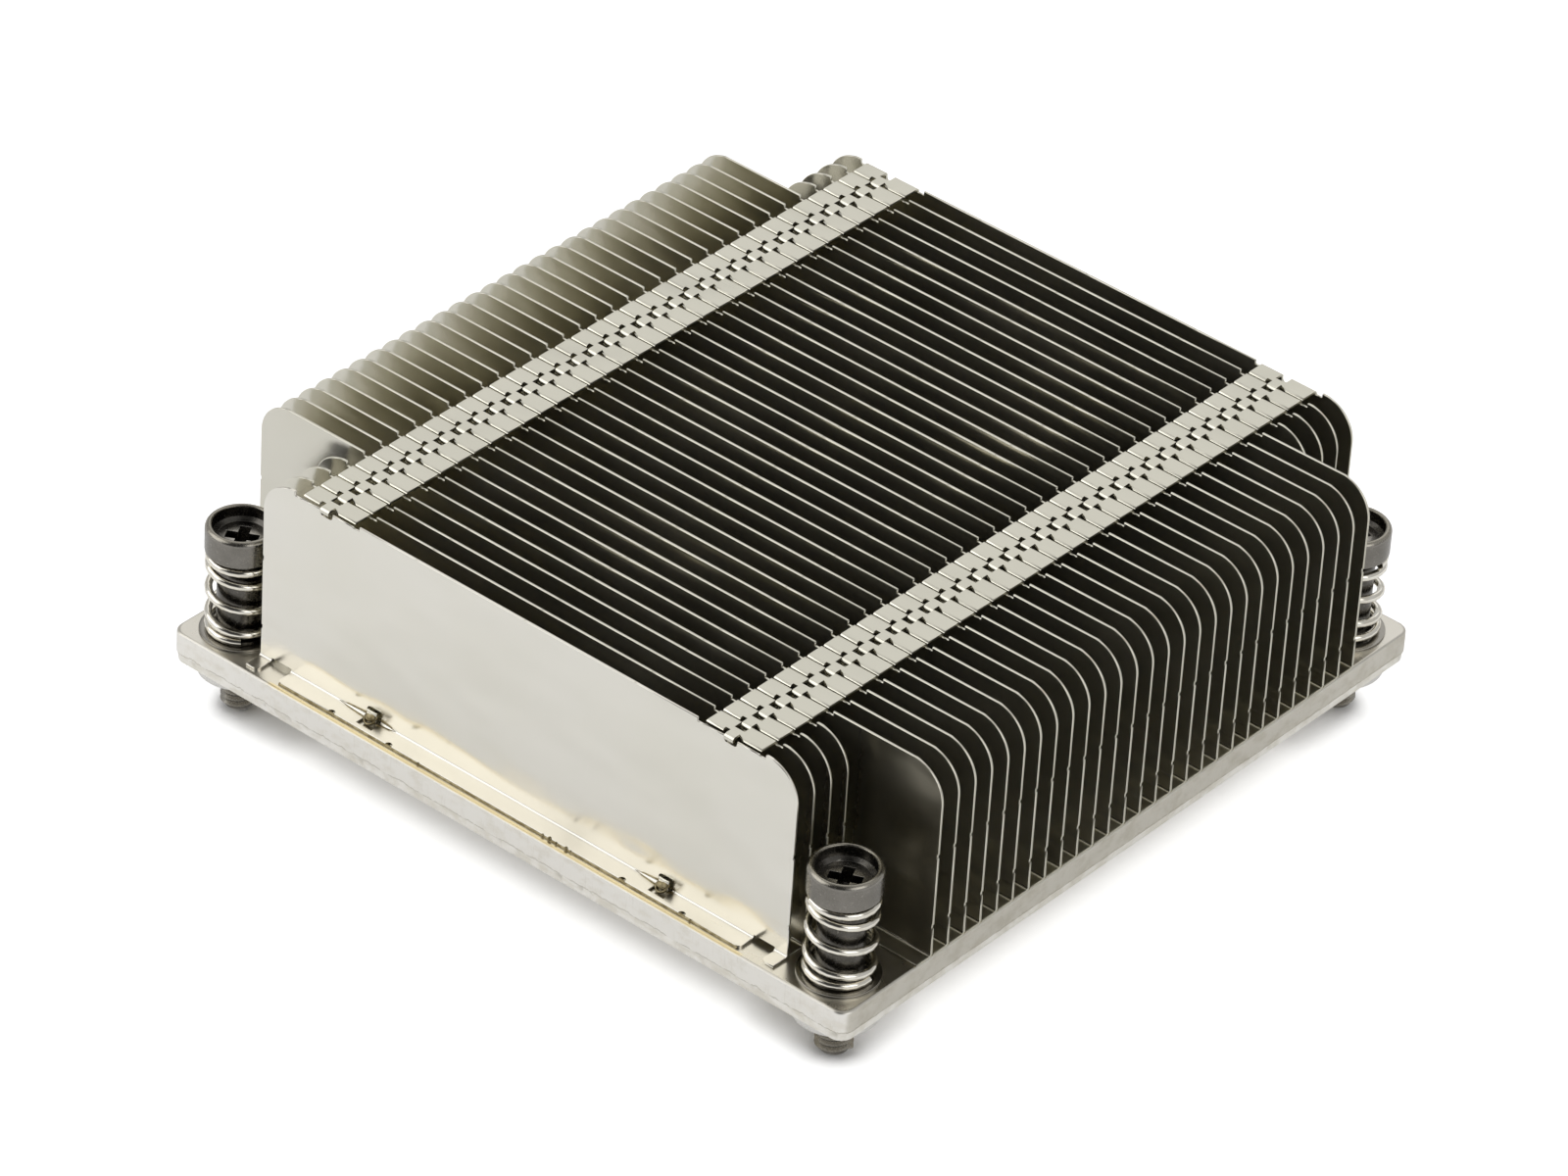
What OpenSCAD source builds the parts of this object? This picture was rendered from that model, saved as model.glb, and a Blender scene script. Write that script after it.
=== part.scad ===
// Passive heatsink for a flat server processor: a nickel plated base plate, a stack of thin
// folded fins soldered on top, and four captive screws with springs at the corners.
// Millimetres, +Z up. The origin is the middle of the contact pad's underside, the face that
// sits on the processor. X runs along the fins, Y runs across the stack.

/* [Base plate] */

// Width of the base plate, along the fins
base_w = 90; // [80:0.5:120]

// Depth of the base plate, across the fins
base_d = 90; // [80:0.5:120]

// Thickness of the base plate
base_t = 3.6; // [2.5:0.1:6]

// Radius of the base plate's upright corners
base_corner_r = 1.5; // [1:0.1:4]

// Width and depth of the lapped contact pad under the base plate
pad_w = 62; // [40:0.5:66]

// How far the contact pad stands out below the base plate
pad_h = 0.5; // [0.3:0.05:1]

/* [Fins] */

// Height of the fins above the base plate
fin_h = 22.4; // [16:0.1:40]

// Thickness of the fin sheet
fin_t = 0.3; // [0.2:0.05:0.4]

// Distance from one fin to the next
fin_pitch = 2.48; // [2.2:0.02:4]

// Inside radius of the folds at the foot of a fin
fold_r = 0.3; // [0.2:0.05:0.4]

// Radius of the fins' upper corners
fin_corner_r = 4; // [2:0.1:4.2]

// Depth of the small stamping nicks in the fins' edges
nick_depth = 0.12; // [0.05:0.01:0.2]

/* [Fin feet] */

// Length of the short foot at each end of a fin
end_foot_w = 1.6; // [1:0.1:2.5]

// Gap in the folded foot beside each short foot
foot_gap_w = 2.7; // [1.5:0.1:4]

// Radius of the foot's free corners
foot_corner_r = 0.6; // [0.3:0.05:0.9]

/* [Top strips] */

// Distance from the end of a short fin to the folded strip on top
strip_end_gap = 5.1; // [4.9:0.1:8]

// Width of a folded strip on top
strip_w = 7; // [6:0.1:8]

// Inside radius of the folds that make the strips
cell_fold_r = 0.15; // [0.1:0.01:0.3]

// Gap between the front edge of a strip's cell and the fin in front of it
cell_gap = 0.15; // [0.1:0.01:0.25]

// Angle by which a cell stands up towards its front edge, in degrees
cell_tilt = 6; // [0:0.5:8]

// Length of the relief notch at each end of a strip
strip_relief_w = 0.85; // [0.4:0.05:1]

// Depth of the relief notch at each end of a strip
strip_relief_depth = 0.45; // [0.2:0.05:0.8]

/* [Interlocks] */

// Distance between the middles of the two interlocks at the foot
foot_lock_spacing = 39; // [30:0.5:44]

// Width of a locking tongue on top
top_tongue_w = 1.15; // [0.8:0.05:1.4]

// Width of a locking tongue at the foot
foot_tongue_w = 1.3; // [0.9:0.05:1.6]

// Sideways play of a tongue on top in its window
top_tongue_play = 0.06; // [0.05:0.01:0.2]

// Sideways play of a tongue at the foot in its window
foot_tongue_play = 0.32; // [0.1:0.01:0.4]

/* [Captive screws] */

// Distance from a screw's axis to the base plate's left or right side
screw_inset_x = 5; // [4.6:0.1:6]

// Distance from a screw's axis to the base plate's front or back side
screw_inset_y = 5; // [4.6:0.1:6]

// Outer diameter of the screw thread
thread_d = 3.9; // [3.4:0.05:4.2]

// Diameter of the plain shank inside the spring
shank_d = 5; // [4.6:0.05:5.2]

// Diameter of the cup shaped head
head_d = 7.6; // [7:0.1:8.2]

// Height of the cup shaped head
head_h = 3.2; // [3.2:0.1:6]

// Wall of the cup shaped head
head_wall = 0.7; // [0.5:0.05:0.9]

// Depth of the cup in the head
cup_depth = 1.6; // [1:0.1:2]

// How far the threaded end reaches below the base plate
thread_reach = 5.8; // [3:0.1:7]

/* [Springs and rings] */

// Wire diameter of the springs
wire_d = 0.85; // [0.6:0.05:0.95]

// Outer diameter of the springs
spring_d = 7.5; // [7:0.05:7.8]

// Height of the springs between washer and head
spring_h = 9.7; // [7:0.1:12]

// Outer diameter of the washers under the springs
washer_d = 8.5; // [7.8:0.1:9]

// Thickness of the washers under the springs
washer_t = 0.2; // [0.15:0.05:1]

// Outer diameter of the retaining rings under the base plate
ring_d = 9; // [7:0.1:9.6]

// Thickness of the retaining rings
ring_t = 1; // [0.5:0.05:1.2]

/* [Hidden] */

// Running gap of a shank in the base plate and in the washer
shank_gap = 0.25;
// Running gap between a ring, its groove and the plate it stops against
ring_gap = 0.05;
// Depth of the groove that carries the ring
groove_depth = 0.25;
// Gap that keeps a fin's fold off the fin in front of it
fold_gap = 0.08;
// Free space kept between the fins and the washers
washer_gap = 0.55;
// Overrun of cuts past the faces they open
over = 0.2;
// Step used for curved faces
bore_fn = 48;
arc_fn = 24;

fold_out_r = fold_r + fin_t;
fold_len = fin_pitch - fin_t - fold_gap;
cell_out_r = cell_fold_r + fin_t;
cell_len = fin_pitch - fin_t - cell_gap;

// Middle of the screws at the corners, and the room that the fins leave for them
screw_x = base_w / 2 - screw_inset_x;
screw_y = base_d / 2 - screw_inset_y;
clear_x = screw_x - washer_d / 2 - washer_gap;
clear_y = screw_y - washer_d / 2 - washer_gap;

fin_count = floor(base_d / fin_pitch);
fin_back_y = base_d / 2 - fin_t;
short_fin_w = 2 * clear_x;
strip_x = clear_x - strip_end_gap - strip_w / 2;

// Places of the nicks as shares of the fin's height and of its width
nick_z_shares = [0.17, 0.55];
nick_x_shares = [-0.16, 0, 0.16];
nick_w = 4 * nick_depth;

// A tongue reaches through the window of the fin in front and bends there: inside radius of
// the bend and length of the straight end, on top and at the foot
tongue_flat = fold_len + 0.7 * fin_t;
top_bend_r = fin_t / 2;
top_end_h = fin_t / 2;
foot_bend_r = fin_t;
foot_end_h = 2.8 * fin_t;
top_window_depth = 3.5 * fin_t;
top_window_h = top_bend_r + fin_t + top_end_h + fold_gap + fin_t;
foot_window_depth = 5 * fin_t;
foot_window_h = foot_bend_r + fin_t + foot_end_h + fold_gap + fin_t / 2;

// Notches in a strip's front edge, measured from the middle of the strip
top_tongue_x = -0.03 * strip_w;
edge_notch_w = 0.085 * strip_w;
edge_wedge_w = 0.13 * strip_w;
edge_notch_depth = fin_t;
foot_notch_r = 1.4 * fin_t;
foot_notch_spacing = 6 * foot_tongue_w;

// Levels from the contact pad's underside: the base plate, then a captive screw
base_z = pad_h;
base_top_z = base_z + base_t;
spring_z = base_top_z + washer_t;
head_z = spring_z + spring_h;
head_top_z = head_z + head_h;
ring_z = base_z - ring_gap - ring_t;
thread_end_z = base_z - thread_reach;
groove_d = thread_d - 2 * groove_depth;
rim_chamfer = head_wall / 2;
cup_d = head_d - 2 * head_wall;
cup_floor_d = cup_d - head_wall;
cross_l = 0.8 * cup_floor_d;
cross_w = 0.28 * cup_floor_d;
cross_depth = 1.1 * cup_depth;
thread_chamfer = thread_d / 10;
shank_hole_d = shank_d + 2 * shank_gap;
ring_hole_d = groove_d + 2 * ring_gap;

// The spring has closed end turns and open turns between them
spring_r = spring_d / 2 - wire_d / 2;
closed_turns = 1;
open_turns = 2.35;
wire_gap = wire_d / 12;
spring_turns = 2 * closed_turns + open_turns;
spring_rise = spring_h - wire_d;
closed_rise = closed_turns * (wire_d + wire_gap);
open_rise = spring_rise - 2 * closed_rise;
turn_steps = 18;
wire_sides = 8;
spring_steps = ceil(spring_turns * turn_steps);

corner_names = ["front_left", "front_right", "back_right", "back_left"];
corner_signs = [[-1, -1], [1, -1], [1, 1], [-1, 1]];
// Directions that the lower ends of the springs point in, in degrees
spring_starts = [-46, 8, 130, 215];

function fin_y(k) = fin_back_y - (fin_count - 1 - k) * fin_pitch;
function is_short(k) = fin_y(k) - fold_len < -clear_y || fin_y(k) + fin_t > clear_y;
function fin_w(k) = is_short(k) ? short_fin_w : base_w;
function fin_name(k) = str("fin_", k < 9 ? "0" : "", k + 1);
function corner_x(c) = corner_signs[c][0] * screw_x;
function corner_y(c) = corner_signs[c][1] * screw_y;

// Base plate with its contact pad and four clearance holes for the captive screws
module base_plate() {
    color([0.78, 0.76, 0.72])
    difference() {
        union() {
            translate([0, 0, base_z]) linear_extrude(base_t) rounded_plate(base_w, base_d);
            linear_extrude(base_z + base_t / 2) rounded_plate(pad_w, pad_w);
        }
        for (c = [0 : 3]) {
            translate([corner_x(c), corner_y(c), base_z - over])
                cylinder(d = shank_hole_d, h = base_t + 2 * over, $fn = bore_fn);
        }
    }
}

module rounded_plate(w, d) {
    inner_w = w - 2 * base_corner_r;
    inner_d = d - 2 * base_corner_r;
    square([w, inner_d], center = true);
    square([inner_w, d], center = true);
    for (sx = [-1, 1], sy = [-1, 1]) {
        translate([sx * inner_w / 2, sy * inner_d / 2])
            circle(r = base_corner_r, $fn = bore_fn);
    }
}

// One fin: an upright sheet, folded feet soldered to the plate, and the folded cells of
// the two strips on top. The first fin has no cells, only the notches for its neighbour.
module fin(k) {
    color([0.86, 0.84, 0.8])
    translate([0, fin_y(k), base_top_z])
        difference() {
            union() {
                fin_sheet(fin_w(k), k > 0);
                fin_feet(fin_w(k), k > 0);
                if (k > 0) fin_cells();
            }
            fin_windows(k > 0);
        }
}

// Upright sheet, drawn from the front and given its thickness
module fin_sheet(w, has_cells) {
    top_cut = has_cells ? cell_out_r : fin_t + fold_gap / 2;
    translate([0, fin_t, 0])
    rotate([90, 0, 0])
    linear_extrude(fin_t)
        difference() {
            translate([-w / 2, fold_out_r]) square([w, fin_h - fold_out_r]);
            for (s = [-1, 1]) {
                translate([s * (w / 2 - fin_corner_r), fin_h - fin_corner_r])
                    corner_waste(fin_corner_r, s, 1);
                translate([s * strip_x - strip_w / 2, fin_h - top_cut])
                    square([strip_w, top_cut + over]);
                strip_reliefs(s * strip_x);
                edge_nicks(s * w / 2);
            }
            top_nicks(w);
        }
}

// What a rounded corner takes away, in the corner that the two signs name
module corner_waste(r, sx, sy) {
    scale([sx, sy])
        difference() {
            square([r + over, r + over]);
            circle(r = r, $fn = bore_fn);
        }
}

module strip_reliefs(x) {
    for (s = [-1, 1]) {
        translate([x + s * (strip_w + strip_relief_w) / 2, fin_h])
            square([strip_relief_w, 2 * strip_relief_depth], center = true);
    }
}

module edge_nicks(x) {
    for (share = nick_z_shares) {
        translate([x, share * fin_h]) square([2 * nick_depth, nick_w], center = true);
    }
}

module top_nicks(w) {
    for (share = nick_x_shares) {
        translate([share * base_w, fin_h]) square([nick_w, nick_depth], center = true);
    }
}

// Folded feet: a short one at each end and a long one between, with gaps in the fold
module fin_feet(w, has_tongue) {
    long_w = w - 2 * (end_foot_w + foot_gap_w);
    fold(-long_w / 2, long_w, fold_r, 90);
    linear_extrude(fin_t) long_foot_outline(long_w);
    for (s = [-1, 1]) {
        end_x = s * (w - end_foot_w) / 2;
        fold(end_x - end_foot_w / 2, end_foot_w, fold_r, 90);
        linear_extrude(fin_t) end_foot_outline(end_x, s);
        if (has_tongue) {
            translate([s * foot_lock_spacing / 2, 0, 0])
                tongue(foot_tongue_w, foot_bend_r, foot_end_h);
        }
    }
}

module long_foot_outline(w) {
    difference() {
        translate([-w / 2, -fold_len]) square([w, fold_len - fold_r]);
        for (s = [-1, 1]) {
            translate([s * (w / 2 - foot_corner_r), foot_corner_r - fold_len])
                corner_waste(foot_corner_r, s, -1);
            for (n = [-1, 1]) {
                translate([s * foot_lock_spacing / 2 + n * foot_notch_spacing / 2, -fold_len])
                    circle(r = foot_notch_r, $fn = arc_fn);
            }
        }
    }
}

module end_foot_outline(x, s) {
    difference() {
        translate([x - end_foot_w / 2, -fold_len]) square([end_foot_w, fold_len - fold_r]);
        translate([x - s * (end_foot_w / 2 - foot_corner_r), foot_corner_r - fold_len])
            corner_waste(foot_corner_r, -s, -1);
    }
}

// The rounded fold between a fin's upright sheet and its foot, from x along w
module fold(x, w, inner_r, angle) {
    translate([x, -inner_r, inner_r + fin_t])
    rotate([90, 0, 90])
    linear_extrude(w)
        bent_ring(inner_r, inner_r + fin_t, angle);
}

// Part of a ring that turns down from the +X side by an angle
module bent_ring(inner_r, outer_r, angle) {
    difference() {
        circle(r = outer_r, $fn = bore_fn);
        circle(r = inner_r, $fn = bore_fn);
        rotate(90 - angle)
        translate([-2 * outer_r, -2 * outer_r])
            square([2 * outer_r, 4 * outer_r]);
        translate([-2 * outer_r, 0]) square([4 * outer_r, 2 * outer_r]);
    }
}

// A tongue that runs on from a foot and bends up through the window in front of it
module tongue(w, bend_r, end_h) {
    translate([-w / 2, -tongue_flat, 0])
        cube([w, tongue_flat - fold_len + 2 * fin_t, fin_t]);
    translate([-w / 2, -tongue_flat, bend_r + fin_t])
    rotate([90, 0, 90])
    linear_extrude(w)
        mirror([1, 0]) bent_ring(bend_r, bend_r + fin_t, 90);
    translate([-w / 2, -tongue_flat - bend_r - fin_t, bend_r + fin_t])
        cube([w, fin_t, end_h]);
}

// The cells of the two strips: folds turned over, with notched front edges and tongues.
// They spring back a little, so each stands up towards its front edge.
module fin_cells() {
    for (s = [-1, 1]) {
        translate([s * strip_x, 0, fin_h])
        mirror([0, 0, 1]) {
            fold(-strip_w / 2, strip_w, cell_fold_r, 90 - cell_tilt);
            sprung_back() {
                linear_extrude(fin_t) cell_outline();
                translate([top_tongue_x, 0, 0])
                    tongue(top_tongue_w, top_bend_r, top_end_h);
            }
        }
    }
}

// Turned about the middle of the strips' fold
module sprung_back() {
    translate([0, -cell_fold_r, cell_out_r])
    rotate([cell_tilt, 0, 0])
    translate([0, cell_fold_r, -cell_out_r])
        children();
}

module cell_outline() {
    notch_x = top_tongue_x - top_tongue_w / 2;
    wedge_x = top_tongue_x + top_tongue_w / 2;
    difference() {
        translate([-strip_w / 2, -cell_len]) square([strip_w, cell_len - cell_fold_r]);
        translate([notch_x - edge_notch_w, -cell_len - over])
            square([edge_notch_w, edge_notch_depth + over]);
        polygon([
            [wedge_x, -cell_len - over],
            [wedge_x + edge_wedge_w, -cell_len - over],
            [wedge_x + edge_wedge_w, -cell_len],
            [wedge_x, edge_notch_depth - cell_len]
        ]);
    }
}

// Windows at the folds, where the tongues of the fin behind come through
module fin_windows(has_cells) {
    for (s = [-1, 1]) {
        translate([s * foot_lock_spacing / 2, 0, 0])
            window(foot_tongue_w + 2 * foot_tongue_play, foot_window_depth, foot_window_h);
        translate([s * strip_x + top_tongue_x, 0, fin_h])
            top_window();
        if (!has_cells) {
            translate([s * strip_x + top_tongue_x + fin_t, 0, fin_h])
                top_window();
        }
    }
}

module top_window() {
    mirror([0, 0, 1])
        window(top_tongue_w + 2 * top_tongue_play, top_window_depth, top_window_h);
}

// Opening in a fold, with rounded corners at its end in the upright sheet
module window(w, depth, h) {
    corner_r = w / 4;
    translate([0, fin_t + over, 0])
    rotate([90, 0, 0])
    linear_extrude(fin_t + over + depth) {
        translate([-w / 2, -over]) square([w, h - corner_r + over]);
        translate([corner_r - w / 2, 0]) square([w - 2 * corner_r, h]);
        for (s = [-1, 1]) {
            translate([s * (w / 2 - corner_r), h - corner_r])
                circle(r = corner_r, $fn = arc_fn);
        }
    }
}

// Captive screw, turned in one piece: cup head, plain shank, groove and threaded end
module screw(c) {
    color([0.3, 0.29, 0.28])
    translate([corner_x(c), corner_y(c), 0])
        difference() {
            rotate_extrude($fn = bore_fn) screw_profile();
            for (a = [0, 90]) {
                translate([0, 0, head_top_z - cup_depth])
                rotate([0, 0, a])
                    cube([cross_l, cross_w, 2 * cross_depth], center = true);
            }
        }
}

module screw_profile() {
    neck_top = ring_z + ring_t + ring_gap;
    neck_bottom = ring_z - ring_gap;
    floor_z = head_top_z - cup_depth;
    polygon([
        [0, thread_end_z],
        [thread_d / 2 - thread_chamfer, thread_end_z],
        [thread_d / 2, thread_end_z + thread_chamfer],
        [thread_d / 2, neck_bottom],
        [groove_d / 2, neck_bottom],
        [groove_d / 2, neck_top],
        [shank_d / 2, neck_top],
        [shank_d / 2, head_z],
        [head_d / 2, head_z],
        [head_d / 2, head_top_z - rim_chamfer],
        [head_d / 2 - rim_chamfer, head_top_z],
        [cup_d / 2, head_top_z],
        [cup_d / 2, floor_z + rim_chamfer],
        [cup_floor_d / 2, floor_z],
        [0, floor_z]
    ]);
}

// Washer between the spring and the base plate
module washer(c) {
    color([0.25, 0.24, 0.23])
        ring_plate(c, base_top_z, washer_d, shank_hole_d, washer_t);
}

// Retaining ring in the screw's groove, under the base plate
module retaining_ring(c) {
    color([0.75, 0.75, 0.74])
        ring_plate(c, ring_z, ring_d, ring_hole_d, ring_t);
}

module ring_plate(c, z, outer_d, hole_d, t) {
    translate([corner_x(c), corner_y(c), z])
        difference() {
            cylinder(d = outer_d, h = t, $fn = bore_fn);
            translate([0, 0, -over])
                cylinder(d = hole_d, h = t + 2 * over, $fn = bore_fn);
        }
}

// Height of the wire's middle after a number of turns from the lower end
function coil_z(turn) =
    turn < closed_turns ? turn / closed_turns * closed_rise
    : turn > closed_turns + open_turns
        ? closed_rise + open_rise
            + (turn - closed_turns - open_turns) / closed_turns * closed_rise
    : closed_rise + (turn - closed_turns) / open_turns * open_rise;

function wire_point(i, j) =
    let (
        turn = i / spring_steps * spring_turns,
        a = turn * 360,
        b = j / wire_sides * 360,
        r = spring_r + wire_d / 2 * cos(b)
    )
    [r * cos(a), r * sin(a), wire_d / 2 + coil_z(turn) + wire_d / 2 * sin(b)];

function wire_index(i, j) = i * wire_sides + j % wire_sides;

// Compression spring, one round wire swept along its coil, which is wound left handed
module spring(c) {
    points = [
        for (i = [0 : spring_steps], j = [0 : wire_sides - 1]) wire_point(i, j)
    ];
    sides = [
        for (i = [0 : spring_steps - 1], j = [0 : wire_sides - 1])
            [wire_index(i, j), wire_index(i + 1, j), wire_index(i + 1, j + 1), wire_index(i, j + 1)]
    ];
    start_cap = [for (j = [0 : wire_sides - 1]) j];
    end_cap = [for (j = [wire_sides - 1 : -1 : 0]) wire_index(spring_steps, j)];
    color([0.85, 0.84, 0.82])
    translate([corner_x(c), corner_y(c), spring_z])
    rotate([0, 0, spring_starts[c]])
    mirror([0, 1, 0])
        polyhedron(points = points, faces = concat(sides, [start_cap, end_cap]), convexity = 10);
}

base_plate();
for (k = [0 : fin_count - 1]) {
    fin(k);
}
for (c = [0 : 3]) {
    screw(c);
    spring(c);
    washer(c);
    retaining_ring(c);
}
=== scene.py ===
"""Looks of a passive heatsink for a server processor: nickel plated plate and folded fins,
dark cup headed screws with bright springs, on a white studio floor."""
import math
from contextlib import contextmanager

import bmesh
import bpy
from mathutils import Matrix, Vector


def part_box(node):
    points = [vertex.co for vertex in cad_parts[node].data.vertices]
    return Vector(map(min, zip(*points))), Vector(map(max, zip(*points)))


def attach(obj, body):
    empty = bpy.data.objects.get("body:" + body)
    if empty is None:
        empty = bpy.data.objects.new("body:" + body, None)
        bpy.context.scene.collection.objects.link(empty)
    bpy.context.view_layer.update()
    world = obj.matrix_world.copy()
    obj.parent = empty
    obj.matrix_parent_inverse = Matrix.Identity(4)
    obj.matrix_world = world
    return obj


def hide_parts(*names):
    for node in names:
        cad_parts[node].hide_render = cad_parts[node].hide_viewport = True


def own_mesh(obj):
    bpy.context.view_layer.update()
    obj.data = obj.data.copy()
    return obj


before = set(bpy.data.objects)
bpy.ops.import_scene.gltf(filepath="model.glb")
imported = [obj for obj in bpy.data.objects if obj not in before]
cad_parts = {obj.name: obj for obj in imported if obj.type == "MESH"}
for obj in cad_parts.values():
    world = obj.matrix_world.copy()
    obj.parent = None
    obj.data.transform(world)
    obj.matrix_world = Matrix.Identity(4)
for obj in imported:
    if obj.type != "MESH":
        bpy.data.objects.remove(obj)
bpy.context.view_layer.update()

MM = 0.001
CORNERS = {"front_left": (-1, -1), "front_right": (1, -1), "back_right": (1, 1), "back_left": (-1, 1)}

# Camera: a long lens at the photograph's angle
CAMERA_PLACE = Vector((438.39, -549.88, 510.83)) * MM
CAMERA_AZIMUTH = math.radians(38.68)
CAMERA_ELEVATION = math.radians(35.51)
CAMERA_ROLL = math.radians(3.68)
CAMERA_LENS = 194.92
DARK_SIDE = (0.23, -0.669, 0.707)
SENSOR_WIDTH = 36.0

# Sizes of the fine forms that the plain solids leave out
PLATE_CORNER = 1.5 * MM
PAD_CORNER = 1.5 * MM
PLATE_STEPS = 96
PLATE_ROLL = 0.32 * MM
SHEAR_DEPTH_SHARE = 0.72
SHEAR_RECESS = 0.14 * MM
SHEAR_WANDER = 0.12 * MM
HOLE_RADIUS = 2.75 * MM
PAD_WIDTH = 62 * MM
PAD_HEIGHT = 0.5 * MM
FIN_THICK = 0.3 * MM
FIN_EDGE_ROUND = 0.09 * MM
CELL_REACH = 1.985 * MM
CELL_LIP_MORE = 0.14 * MM
CELL_LEVELLING = math.radians(5)
CELL_LIP_CHAMFER = 0.2 * MM
FOOT_GAP_INNER = 40.7 * MM
FOOT_GAP_OUTER = 43.4 * MM
FOOT_CORNER = 0.6 * MM
# The first foot's locks: place along X, reach of the dark lines to the left and to the right
FOOT_LOCKS = ((-19.5 * MM, 4.0 * MM, 2.4 * MM), (19.5 * MM, 3.3 * MM, 0.6 * MM))
FOOT_WINDOW_WIDTH = 1.94 * MM
FOLD_RADIUS = 0.3 * MM
LOCK_LINE_SPREAD = 0.45 * MM
LOCK_LINE_WIDTH = 0.13 * MM
SOLDER_RADIUS = 0.2 * MM
COLLAR_RADIUS = 0.6 * MM
COLLAR_THICK = 0.25 * MM
THREAD_PITCH = 0.7 * MM
THREAD_DEPTH = 0.42 * MM
HEAD_WALL = 0.7 * MM
HEAD_ROUND = 0.55 * MM
CUP_DEPTH = 1.6 * MM
WIRE_RADIUS = 0.425 * MM
WIRE_SIDES = 14
TURN_STEPS = 24
CLOSED_TURNS = 1.0
OPEN_TURNS = 2.35
CLOSED_GAP = 0.07 * MM
SPRING_STARTS = {"front_left": -46, "front_right": 8, "back_right": 130, "back_left": 215}


class Socket:
    """One output of a shader tree. Arithmetic on it adds the Math nodes."""

    def __init__(self, tree, out):
        self.tree = tree
        self.out = out

    def math(self, operation, first, second=0.0, third=0.0):
        inputs = {0: first, 1: second, 2: third}
        return self.tree.add("ShaderNodeMath", {"operation": operation}, inputs)

    def __add__(self, other):
        return self.math("ADD", self, other)

    def __radd__(self, other):
        return self.math("ADD", other, self)

    def __sub__(self, other):
        return self.math("SUBTRACT", self, other)

    def __rsub__(self, other):
        return self.math("SUBTRACT", other, self)

    def __mul__(self, other):
        return self.math("MULTIPLY", self, other)

    def __rmul__(self, other):
        return self.math("MULTIPLY", other, self)

    def __truediv__(self, other):
        return self.math("DIVIDE", self, other)

    def __abs__(self):
        return self.math("ABSOLUTE", self)

    def power(self, exponent):
        return self.math("POWER", self, exponent)

    def clamp(self):
        return self.tree.add("ShaderNodeClamp", {}, {"Value": self})

    def ramp(self, low, high, start=0.0, end=1.0):
        """Goes smoothly from start to end while the value goes from low to high."""
        settings = {"interpolation_type": "SMOOTHSTEP"}
        inputs = {"Value": self, "From Min": low, "From Max": high, "To Min": start, "To Max": end}
        return self.tree.add("ShaderNodeMapRange", settings, inputs)


class Tree:
    """The nodes of one material or of the world."""

    def __init__(self, owner):
        owner.use_nodes = True
        self.nodes = owner.node_tree.nodes
        self.links = owner.node_tree.links
        self.nodes.clear()

    def add(self, kind, settings=None, inputs=None, output=0):
        """Adds a node: its settings first, then the values or links of its sockets."""
        node = self.nodes.new(kind)
        for name, value in (settings or {}).items():
            setattr(node, name, value)
        for key, value in (inputs or {}).items():
            if isinstance(value, Socket):
                self.links.new(value.out, node.inputs[key])
            else:
                node.inputs[key].default_value = value
        return Socket(self, node.outputs[output])

    def place(self, stretch=(1, 1, 1)):
        """The point on the object, in metres, stretched along its axes."""
        point = self.add("ShaderNodeTexCoord", output="Object")
        if tuple(stretch) == (1, 1, 1):
            return point
        return self.add("ShaderNodeMapping", {}, {"Vector": point, "Scale": stretch})

    def axis(self, vector, index):
        return self.add("ShaderNodeSeparateXYZ", {}, {0: vector}, index)

    def noise(self, scale, stretch=(1, 1, 1), detail=3.0, rough=0.5):
        inputs = {"Vector": self.place(stretch), "Scale": scale, "Detail": detail, "Roughness": rough}
        return self.add("ShaderNodeTexNoise", {}, inputs)

    def near(self, point, reach):
        """1 at the point, falling to 0 at the reach round it."""
        settings = {"operation": "DISTANCE"}
        away = self.add("ShaderNodeVectorMath", settings, {0: self.place(), 1: point}, "Value")
        return (1 - away / reach).clamp()

    def mix(self, factor, first, second, blend="MIX"):
        settings = {"data_type": "RGBA", "blend_type": blend}
        return self.add("ShaderNodeMix", settings, {0: factor, 6: first, 7: second}, 2)

    def bump(self, height, distance, strength=1.0, normal=None):
        inputs = {"Height": height, "Distance": distance, "Strength": strength}
        if normal:
            inputs["Normal"] = normal
        return self.add("ShaderNodeBump", {}, inputs)

    def finish(self, surface, kind="ShaderNodeOutputMaterial"):
        self.add_output(kind, surface)

    def add_output(self, kind, surface):
        node = self.nodes.new(kind)
        self.links.new(surface.out, node.inputs["Surface"])


def rgb(red, green, blue):
    return (red, green, blue, 1.0)


def new_material(name):
    material = bpy.data.materials.new(name)
    return material, Tree(material)


def metal(tree, color, roughness, normal, **constants):
    inputs = {"Base Color": color, "Roughness": roughness, "Metallic": 1.0, "Normal": normal}
    inputs.update(constants)
    tree.finish(tree.add("ShaderNodeBsdfPrincipled", {}, inputs))


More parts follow.
